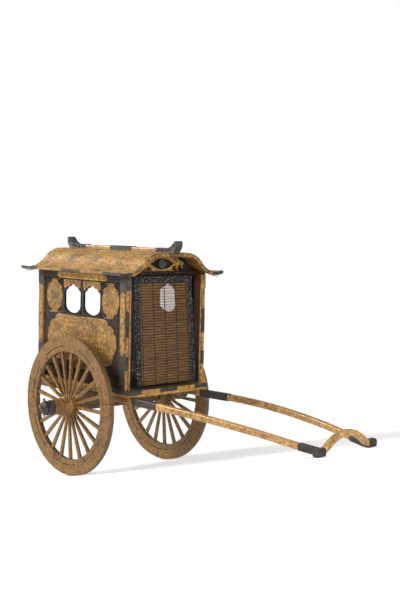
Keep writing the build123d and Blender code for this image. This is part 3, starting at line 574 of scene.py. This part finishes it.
def inside(points, outline):  # whether (n, 2) points lie in a closed outline, by counting crossings
    a = np.asarray(outline, float)
    b = np.roll(a, -1, 0)
    x, y = points[:, None, 0], points[:, None, 1]
    crosses = (a[:, 1] > y) != (b[:, 1] > y)
    at = a[:, 0] + (y - a[:, 1]) / (b[:, 1] - a[:, 1] + 1e-12) * (b[:, 0] - a[:, 0])
    return (crosses & (x < at)).sum(1) % 2 == 1


# The roof's upper surface: the distance from its middle along the section gives x, z and the outward
# normal, on a flat crown, a convex shoulder arc, a concave valley arc and the lip's arc
def roofPlace(p):
    bend = 2 * math.atan((roof["crownZ"] - roof["valleyZ"]) / (roof["valleyX"] - roof["crownHalf"]))
    shoulder, lip = roof["shoulderRadius"], roof["lipRadius"]
    valley = (roof["valleyX"] - roof["crownHalf"]) / math.sin(bend) - shoulder
    s = np.abs(p[:, 0])
    side = np.sign(p[:, 0]) + (p[:, 0] == 0)
    first = roof["crownHalf"]
    second = first + shoulder * bend
    third = second + valley * bend
    onShoulder = np.clip((s - first) / shoulder, 0, bend)
    inValley = np.clip((third - s) / valley, 0, bend)
    onLip = np.maximum(s - third, 0) / lip
    stretches = [s < first, s < second, s < third]
    x = np.select(stretches,
                  [s, first + shoulder * np.sin(onShoulder), roof["valleyX"] - valley * np.sin(inValley)],
                  roof["valleyX"] + lip * np.sin(onLip))
    onCrown = roof["crownZ"] - shoulder * (1 - np.cos(onShoulder))
    z = np.select(stretches, [onCrown, onCrown, roof["valleyZ"] + valley * (1 - np.cos(inValley))],
                  roof["valleyZ"] + lip * (1 - np.cos(onLip)))
    slope = np.select(stretches, [onShoulder, onShoulder, inValley], -onLip)
    return np.stack([side * (x + p[:, 2] * np.sin(slope)), p[:, 1], z + p[:, 2] * np.cos(slope)], -1)


roofPattern = {"pitch": 8.4, "scroll": 8.2, "roundel": 6.6, "gap": 9.5, "reach": (9.0, 90.0),
               "ends": (7.5, 5.0),
               "flowers": ((20, -78), (50, -62), (20, -28), (50, -10), (20, 22), (50, 42), (20, 72), (50, 90),
                           (76, -36), (76, 66))}


def roofScrolls():  # a lattice of scrolls with roundels among them, on each half of the roof
    start, end = roof["front"] + roofPattern["ends"][0], roof["rear"] - roofPattern["ends"][1]
    for side, word in sides:
        flowers = np.array(roofPattern["flowers"], float) * (side, 1)
        centres = latticeCentres(*roofPattern["reach"], start, end, roofPattern["pitch"]) * (side, 1)
        parts = scrolls(clearOf(centres, flowers, roofPattern["gap"]), roofPattern["scroll"], seed=3 + side)
        makePiece("roof_scrolls_" + word, *joinRibs(parts, roofPlace), "bright gold")
        parts = roundels(flowers, roofPattern["roundel"])
        makePiece("roof_roundels_" + word, *joinRibs(parts, roofPlace), "dull gold")


# Dark lines along the barge boards: one just under the roof's upper face, and one near their lower edge
boardLines = {"reach": 86.0, "rise": 0.05,
              "rows": ({"depth": -0.9, "halfWidth": 0.55}, {"depth": -4.7, "halfWidth": 0.35})}


def edgeLines():
    s = np.linspace(-boardLines["reach"], boardLines["reach"], 99)[None]
    for y, out, word in ((roof["front"], -1, "front"), (roof["rear"], 1, "rear")):
        def toCart(p):
            place = roofPlace(np.stack([p[:, 0], np.full(len(p), y), p[:, 1]], -1))
            return place + p[:, 2:] * (0, out, 0)
        parts = []
        for row in boardLines["rows"]:
            line = np.stack([s, np.full(s.shape, row["depth"])], -1)
            parts += evenLines(line, row["halfWidth"], boardLines["rise"])
        makePiece("board_lines_" + word, *joinRibs(parts, toCart), "seam", slot="dark_lacquer")


roofScrolls()
edgeLines()
print("roof scrolls made")

# The walls' raised panels: half of each outline, which is mirrored about its middle, and what is on them
medallion = {"half": [(0.0, 21.5), (5.6, 20.4), (8.4, 15.6), (13.4, 14.6), (14.8, 9.6), (17.2, 5.4),
                      (17.4, 0.0), (17.2, -5.4), (14.8, -9.6), (13.4, -14.6), (8.4, -15.6), (5.6, -20.4),
                      (0.0, -21.5)],
             "centres": [(cabin["rear"] - cabin["postDepth"] - 24.0, cabin["plateBottom"] - 22.8),
                         (cabin["front"] + cabin["postDepth"] + 19.5, cabin["plateBottom"] - 22.8)],
             "around": [(-6.5, 13.5), (6.5, 13.5), (0, 17.5), (-11.5, 5), (11.5, 5), (-11.5, -5), (11.5, -5),
                        (-6.5, -13.5), (6.5, -13.5), (0, -17.5)],
             "scroll": 6.4, "roundel": 6.6, "rim": 0.45, "barHalf": 0.75, "barRise": 0.6,
             "bars": [(-52.8, -72.3, 159.9), (-51.0, -70.0, 116.4), (67.0, 43.0, 116.4), (64.0, 46.0, 159.9)]}
cloud = {"half": [(0.0, 0.0), (48.0, 0.0), (54.4, -2.4), (57.0, -8.0), (65.0, -9.4), (68.4, -16.4),
                  (72.6, -21.0), (73.4, -29.0), (72.6, -37.0), (67.0, -44.0), (65.0, -52.6), (56.0, -59.0),
                  (0.0, -59.0)],
         "centres": [(cabin["middle"] - 1.0, cabin["plateBottom"] - 46.6)],
         "pitch": 8.2, "gap": 9.0, "inset": 4.0, "scroll": 8.0, "roundel": 6.4, "rim": 0.5,
         "flowers": [(46.5, 98.0), (-33.4, 101.0), (-61.0, 82.0), (8.0, 96.0), (52.0, 72.0), (-8.0, 74.0)]}


def wholeOutline(half, place, shrink):  # both halves about a place, drawn in by shrink all round
    h = np.asarray(half, float)
    whole = np.concatenate([h, h[::-1] * (-1, 1)])
    middle = whole.mean(0)
    reach = np.abs(whole - middle).max(0)
    return (whole - middle) * (1 - shrink / reach) + middle + place


def rims(panel, inset=0.9, rise=0.3):  # a closed rib just within each of its outlines
    outlines = np.stack([wholeOutline(panel["half"], centre, inset) for centre in panel["centres"]])
    return evenLines(np.concatenate([outlines, outlines[:, :1]], 1), panel["rim"], rise)


def panelScrolls():
    face = cabin["wallOuter"] + cabin["relief"]
    centres = latticeCentres(-80, 80, 55, 120, cloud["pitch"])
    centres = centres[inside(centres, wholeOutline(cloud["half"], cloud["centres"][0], cloud["inset"]))]
    parts = scrolls(clearOf(centres, cloud["flowers"], cloud["gap"]), cloud["scroll"], seed=11)
    bothSides("cloud_scrolls", parts, face, "bright gold")
    bothSides("cloud_roundels", roundels(cloud["flowers"], cloud["roundel"]), face, "dull gold")
    centres = np.concatenate([np.add(centre, medallion["around"]) for centre in medallion["centres"]])
    bothSides("medallion_scrolls", scrolls(centres, medallion["scroll"], seed=17), face, "bright gold")
    parts = roundels(medallion["centres"], medallion["roundel"])
    bothSides("medallion_roundels", parts, face, "dull gold")
    bothSides("medallion_rims", rims(medallion), face, "bright gold")
    bothSides("cloud_rims", rims(cloud), face, "bright gold")


def medallionBars():  # short raised bars over and under the medallions
    lines = np.array([[(a, z), ((a + b) / 2, z), (b, z)] for a, b, z in medallion["bars"]])
    parts = evenLines(lines, medallion["barHalf"], medallion["barRise"])
    bothSides("medallion_bars", parts, cabin["wallOuter"], "bright gold")


panelScrolls()
print("panel scrolls made")

# Single rows of scrolls, each with its centres, size, seed and the face it stands on, and how high their
# spirals and leaves rise. Over the windows, each height has the places along that it has scrolls at
bandRise = (0.2, 0.25)
plateZ = cabin["plateBottom"] + 5.0
stripY = (cabin["front"] + 6.0, cabin["rear"] - 6.0)
overWindows = {157.6: (-15.4, -10.2, -5.0, 5.0, 10.2, 15.4), 153.0: (-16.0, 16.0)}
bands = {
    "frieze": {"at": [(y, plateZ) for y in np.arange(-54, 46, 6.6)], "size": 6.2, "seed": 23,
               "face": cabin["halfWidth"] + cabin["frieze"]},
    "strip": {"at": [(y, z) for y in stripY for z in np.linspace(79, 145, 11)], "size": 6.4, "seed": 29,
              "face": cabin["halfWidth"] + cabin["skin"]},
    "spandrel": {"at": [(y + d, z) for z, row in overWindows.items() for y in windows.values() for d in row],
                 "size": 4.4, "seed": 31, "face": cabin["wallOuter"] + cabin["relief"]},
}
for word, row in bands.items():
    parts = scrolls(np.array(row["at"]), row["size"], row["seed"], bandRise)
    bothSides(word + "_scrolls", parts, row["face"], "bright gold")

# Window feet: a thin sill fills each opening's lower corners up to an elliptical curve,
# z = foot + rise (1 - sqrt(1 - (u / half)^2))
windowFoot = {"half": 17.9, "foot": 117.2, "rise": 9.5, "depth": 0.6, "inner": 60.9, "outer": 65.0}


def windowFeet():
    u = windowFoot["half"] * np.sin(np.linspace(-math.pi / 2, math.pi / 2, 33))
    curve = 1 - np.sqrt(np.maximum(1 - (u / windowFoot["half"]) ** 2, 0))
    top = windowFoot["foot"] + windowFoot["rise"] * curve
    under = np.full(len(u), windowFoot["foot"] - windowFoot["depth"])
    section = [(windowFoot["inner"], under), (windowFoot["outer"], under), (windowFoot["outer"], top),
               (windowFoot["inner"], top)]
    for side, word in sides:
        for place, y in windows.items():
            if (side, place) == (1, "rear"):  # this one has a shutter
                continue
            rows = [np.stack([np.full(len(u), side * x), y + u, z], -1) for x, z in section]
            makePiece("window_foot_" + place + "_" + word, np.stack(rows, 1)[None], strandFaces(1, len(u), 4),
                      "ground", slot="dark_lacquer", smoothShaded=False)


windowFeet()
medallionBars()
print("bands, window feet and bars made")

# Dark lines of the wheel's joints: along each inlaid inner felloe's edge and each joint between outer ones
wheel = {"outer": 83.0, "inner": 76.5, "rim": 69.5, "inlay": 76.5, "tread": 90.0, "joints": 7, "first": 8.6,
         "inlayHalf": 17.14, "rise": 0.06}


def wheelSeams():
    angles = (wheel["first"] + np.arange(wheel["joints"]) * 360.0 / wheel["joints"])[:, None]
    t = np.linspace(-wheel["inlayHalf"], wheel["inlayHalf"], 12)[None] + angles
    arcs = (np.full(t.shape, wheel["inlay"] + 0.1), t)
    r = np.linspace(wheel["rim"] + 0.2, wheel["inlay"], 4)[None].repeat(wheel["joints"], 0)
    ends = (np.concatenate([r, r]), np.concatenate([angles + side * wheel["inlayHalf"] for side in (-1, 1)]))
    r = np.linspace(wheel["inlay"], wheel["tread"] - 0.1, 4)[None].repeat(wheel["joints"], 0)
    parts = []
    for (radius, turn), halfWidth in ((arcs, 0.45), (ends, 0.45), ((r, angles), 0.65)):
        a = np.radians(turn)
        parts += evenLines(np.stack([-radius * np.cos(a), radius * np.sin(a)], -1), halfWidth, wheel["rise"])
    for side, word in sides:
        for face, out in (("outer", 1), ("inner", -1)):
            def toCart(p):
                return np.stack([side * (wheel[face] + out * p[:, 2]), p[:, 0], p[:, 1]], -1)
            makePiece("joint_lines_" + word + "_" + face, *joinRibs(parts, toCart), "seam",
                      body="wheel_" + word, slot="wheel_lacquer")


wheelSeams()
print("wheel lines made")


# Domed nails: four rings of eight, with each ring's share of the radius and its height, on each place and
# square to the way it faces
def nails(name, places, outs, radius):
    places, outs = np.asarray(places, float), np.asarray(outs, float)
    helper = np.where(np.abs(outs[:, :1]) < 0.9, (1.0, 0, 0), (0, 1.0, 0))
    across = np.cross(outs, helper)
    other = np.cross(outs, across)
    a = (np.arange(8) * math.pi / 4)[None, :, None]
    circle = np.cos(a) * across[:, None] + np.sin(a) * other[:, None]
    rows = []
    for ring, lift in ((1.0, -0.3), (1.0, 0.1), (0.72, 0.45), (0.25, 0.62)):
        rows.append(places[:, None] + radius * (ring * circle + lift * outs[:, None]))
    makePiece(name, np.stack(rows, 1), strandFaces(len(places), 4, 8), "metal", slot="patinated_metal")


nailRows = {"board": (6.0, 24.0, 44.0, 62.0), "boardDepth": -2.6, "postX": 62.8,
            "post": (41.0, 76.0, 88.0, 128.0, 147.0), "strip": (75.5, 112.0, 149.0)}


def allNails():
    s = np.concatenate([nailRows["board"], np.negative(nailRows["board"])])
    y, depth = np.full(len(s), roof["front"]), np.full(len(s), nailRows["boardDepth"])
    front = roofPlace(np.stack([s, y, depth], -1))
    rear = front * (1, 0, 1) + (0, roof["rear"], 0)
    nails("board_nails", np.concatenate([front, rear]), [(0, -1, 0)] * len(s) + [(0, 1, 0)] * len(s), 0.9)
    places = [(side * nailRows["postX"], y, z) for y in (cabin["front"], cabin["rear"]) for side in (-1, 1)
              for z in nailRows["post"]]
    nails("post_nails", places, [(0, np.sign(y), 0) for x, y, z in places], 0.75)
    places = [(side * (cabin["halfWidth"] + cabin["skin"]), y, z) for side in (-1, 1) for y in stripY
              for z in nailRows["strip"]]
    nails("strip_nails", places, [(np.sign(x), 0, 0) for x, y, z in places], 0.7)


allNails()
print("nails made")

# Hanging blind: the sheet's own places are (across, down, out) from the rod it hangs on
blind = {"y": -89.5, "z": 169.6, "lean": 3.3, "half": 49.0, "length": 136.0, "pitch": 0.85, "stick": 0.26,
         "fatter": 1.4, "edge": 8.6, "band": 9.5, "threads": (-38.0, -19.0, 0.0, 19.0, 38.0), "thread": 0.32,
         "threadOut": 0.42}


# Leans the sheet, bellies it by half a sine wave down its length, ripples it and its edges by faster ones,
# and shifts it to the right towards its foot, its right edge most
def onBlind(p):
    p = np.asarray(p, float)
    c, s = math.cos(math.radians(blind["lean"])), math.sin(math.radians(blind["lean"]))
    down = p[..., 1] / blind["length"]
    out = p[..., 2] + 0.9 * np.sin(math.pi * down) * np.cos(p[..., 0] / 40.0) + 0.25 * np.sin(down * 19.0)
    sideways = 2.4 * down - 0.6 + (1.9 * down - 1.9) * np.clip(p[..., 0] / blind["half"], 0, 1)
    wave = 0.35 * np.sin(down * 23.0 + np.sign(p[..., 0])) * (np.abs(p[..., 0]) / blind["half"])
    return np.stack([p[..., 0] + sideways + wave, blind["y"] - out * c - p[..., 1] * s,
                     blind["z"] + out * s - p[..., 1] * c], -1)


def roundBars(starts, ends, radius, stations, corners):  # straight bars between (k, 3) ends, in blind places
    t = np.linspace(0, 1, stations)[None, :, None]
    line = starts[:, None] * (1 - t) + ends[:, None] * t
    along = (ends - starts) / np.linalg.norm(ends - starts, axis=1, keepdims=True)
    out = np.broadcast_to(np.array([0.0, 0.0, 1.0]), along.shape)
    across = np.cross(out, along)
    a = (np.arange(corners) * 2 * math.pi / corners)[None, :, None]
    ring = np.cos(a) * across[:, None] + np.sin(a) * out[:, None]
    return line[:, :, None] + radius * ring[:, None]


def blindPiece(name, grid, finish):
    return makePiece(name, onBlind(grid), strandFaces(*grid.shape[:3]), finish, "blind", "bamboo_blind")


# Sticks a little out of level, each fourth one fatter and dark, and threads before and behind them
def makeBlind():
    rng = np.random.default_rng(5)
    rows = np.arange(2.0, blind["length"] - 0.5, blind["pitch"])
    reach = np.full(len(rows), blind["half"] - 1.0)
    tilt = rng.normal(0, 0.08, (len(rows), 2))
    starts = np.stack([-reach, rows + tilt[:, 0], rng.normal(0, 0.04, len(rows))], -1)
    ends = np.stack([reach, rows + tilt[:, 1], rng.normal(0, 0.04, len(rows))], -1)
    dark = np.arange(len(rows)) % 4 == 0
    sticks = blindPiece("blind_sticks", roundBars(starts[~dark], ends[~dark], blind["stick"], 9, 6), "bamboo")
    grid = roundBars(starts[dark], ends[dark], blind["stick"] * blind["fatter"], 9, 6)
    blindPiece("blind_dark_sticks", grid, "dark bamboo")
    ties = np.array([(x, 1.0, side * blind["threadOut"]) for side in (-1, 1) for x in blind["threads"]])
    grid = roundBars(ties, ties * (1, 0, 1) + (0, blind["length"] - 0.6, 0), blind["thread"], 25, 5)
    blindPiece("blind_threads", grid, "seam")
    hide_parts("front_blind")


# Brocade binding: a strip folded over each side edge and one over the top, whose section is a squared-off
# ellipse, with its thickness waving a little where it is stitched
def brocadeStrip(name, first, last, halfWidth):
    t = np.linspace(0, 1, 49)[:, None]
    a = np.arange(12)[None] * 2 * math.pi / 12
    first, last = np.array(first), np.array(last)
    along = (last - first) / np.linalg.norm(last - first)
    line = first * (1 - t) + last * t
    wide = np.sign(np.cos(a)) * np.abs(np.cos(a)) ** 0.35 * halfWidth * (1 + 0.03 * np.sin(t * 37.0))
    thick = 0.75 + 0.12 * np.sin(t * 60.0) + 0.08 * np.sin(t * 23.0 + 2)
    thick = np.sign(np.sin(a)) * np.abs(np.sin(a)) ** 0.6 * thick
    grid = np.stack([line[:, :1] + along[1] * wide, line[:, 1:] - along[0] * wide, thick], -1)
    blindPiece(name, grid[None], "brocade")


makeBlind()
for side, word in sides:
    x = side * (blind["half"] - blind["edge"] / 2)
    brocadeStrip("blind_border_" + word, (x, 0.6), (x, blind["length"]), blind["edge"] / 2)
bandDown = blind["band"] / 2 - 0.4
brocadeStrip("blind_top_band", (-blind["half"], bandDown), (blind["half"], bandDown), blind["band"] / 2)
print("blind made")

# Gable ornament: gold scrolls on the strut beside the eye, dark scroll fittings at its feet, and pale rims
# round the eye, whose lids are parabolas, and along the strut's ends. Heights are from the gable's foot
gable = {"base": cabin["plateBottom"] + 14.6, "strutDepth": 10.4, "eyeHalf": 20.4, "eyeZ": 9.2, "lid": 7.6,
         "gold": [(-29.5, 8.6), (29.5, 8.6), (0, 18.0), (-12, 17.6), (12, 17.6), (-22.0, 14.6), (22.0, 14.6)],
         "dark": [(-30.0, 3.4), (30.0, 3.4), (-21.5, 2.4), (21.5, 2.4)],
         "end": [(34.8, 11.0), (35.8, 9.0), (33.4, 6.6), (34.4, 3.8), (31.6, 1.3), (26.0, 0.8)]}


def gableOrnament():
    gold, dark, end = (np.array(gable[key], float) + (0, gable["base"]) for key in ("gold", "dark", "end"))
    edge = np.concatenate([end, end[::-1] * (-1, 1)])[None]
    t = np.linspace(-1, 1, 21)
    lids = np.stack([np.stack([sign * gable["eyeHalf"] * t, gable["base"] + gable["eyeZ"] +
                               sign * gable["lid"] * (1 - t ** 2)], -1) for sign in (1, -1)])
    pieces = {"scrolls": (scrolls(gold, 6.0, 37, (0.7, 0.8), (1.6, 1.3)), "bright gold", "gold_lacquer"),
              "fittings": (scrolls(dark, 6.6, 41, (1.5, 1.6), (2.6, 1.8)), "seam", "patinated_metal"),
              "rims": (evenLines(lids, 0.8, 0.8) + evenLines(edge, 0.7, 0.6), "pale gold", "gold_lacquer")}
    for out, y, word in ((-1, cabin["front"] + gable["strutDepth"], "front"),
                         (1, cabin["rear"] - gable["strutDepth"], "rear")):
        def toCart(p):
            return np.stack([p[:, 0], y + out * p[:, 2], p[:, 1]], -1)
        for kind, (parts, finish, slot) in pieces.items():
            makePiece("gable_" + kind + "_" + word, *joinRibs(parts, toCart), finish, slot=slot)


gableOrnament()

# Scrolls in relief on the ridge ornaments' sides: each one's distance from the ridge's middle, its height
# over the crown and its size
horn = {"half": 5.5, "middle": -3.5, "rise": 0.4,
        "scrolls": [(80.6, 2.7, 4.4), (88.0, 2.7, 4.4), (95.4, 2.8, 4.6), (102.6, 4.0, 5.4),
                    (109.4, 9.4, 4.2)]}


def hornScrolls():
    parts = []
    for i, (y, z, size) in enumerate(horn["scrolls"]):
        parts += scrolls(np.array([(y, z)]), size, 43 + i, (horn["rise"], horn["rise"]), (1.2, 1.0))
    for side, sideWord in sides:
        for out, word in ((-1, "front"), (1, "rear")):
            def toCart(p):
                return np.stack([side * (horn["half"] + p[:, 2]), horn["middle"] + out * p[:, 0],
                                 roof["crownZ"] + p[:, 1]], -1)
            makePiece("horn_scrolls_" + word + "_" + sideWord, *joinRibs(parts, toCart), "horn metal",
                      slot="patinated_metal")


hornScrolls()
print("fittings made")

# The studio, in metres: the floor is lit paper near the cart, for its shadow, and fades to white further out
studio = {"soft": 0.58, "glow": 0.40, "paper": (0.60, 0.59, 0.58, 1), "fade": (0.35, 0.8), "half": 8.0,
          "drop": -0.0003, "aim": (0, 0.05, 0.12),
          "lamps": [{"at": (-0.8, 1.0, 1.1), "size": 0.7, "power": 41.0},
                    {"at": (-0.6, -1.6, 0.5), "size": 1.0, "power": 25.0}]}
white = (1, 1, 1, 1)


def addWorld():  # soft light on the cart, white to the camera
    world = bpy.data.worlds.new("studio")
    bpy.context.scene.world = world
    world.use_nodes = True
    world.node_tree.nodes.clear()
    add = functools.partial(addNode, world.node_tree)
    path = add("LightPath", output=None)
    seen = add("Math", [path["Is Camera Ray"], path["Is Transmission Ray"]], operation="MAXIMUM")
    soft = add("Background", [white, studio["soft"]])
    add("OutputWorld", [add("MixShader", [seen, soft, add("Background", [white, 1.0])])], output=None)


def addFloor():
    material = bpy.data.materials.new("paper floor")
    material.use_nodes = True
    material.node_tree.nodes.clear()
    add = functools.partial(addNode, material.node_tree)
    away = add("VectorMath", [add("TexCoord", output="Object")], output="Value", operation="LENGTH")
    glow = add("Emission", [white, studio["glow"]])
    paper = add("AddShader", [glow, add("BsdfDiffuse", [studio["paper"]])])
    fade = add("MapRange", [away, *studio["fade"]], **smooth)
    add("OutputMaterial", [add("MixShader", [fade, paper, add("Emission", [white, 1.0])])], output=None)
    half = studio["half"]
    mesh = bpy.data.meshes.new("floor")
    corners = [(x * half, y * half, studio["drop"]) for x, y in ((-1, -1), (1, -1), (1, 1), (-1, 1))]
    mesh.from_pydata(corners, [], [(0, 1, 2, 3)])
    mesh.materials.append(material)
    putIn("floor", mesh)


def addLamps():
    for i, row in enumerate(studio["lamps"]):
        data = bpy.data.lights.new(f"softbox_{i}", "AREA")
        data.shape = "SQUARE"
        data.size = row["size"]
        data.energy = row["power"]
        lamp = putIn(f"softbox_{i}", data)
        aim = (mathutils.Vector(studio["aim"]) - mathutils.Vector(row["at"])).to_track_quat("-Z", "Y")
        lamp.matrix_world = mathutils.Matrix.Translation(row["at"]) @ aim.to_matrix().to_4x4()


addWorld()
addFloor()
addLamps()
print("studio set")
bpy.context.scene.view_settings.view_transform = "Standard"
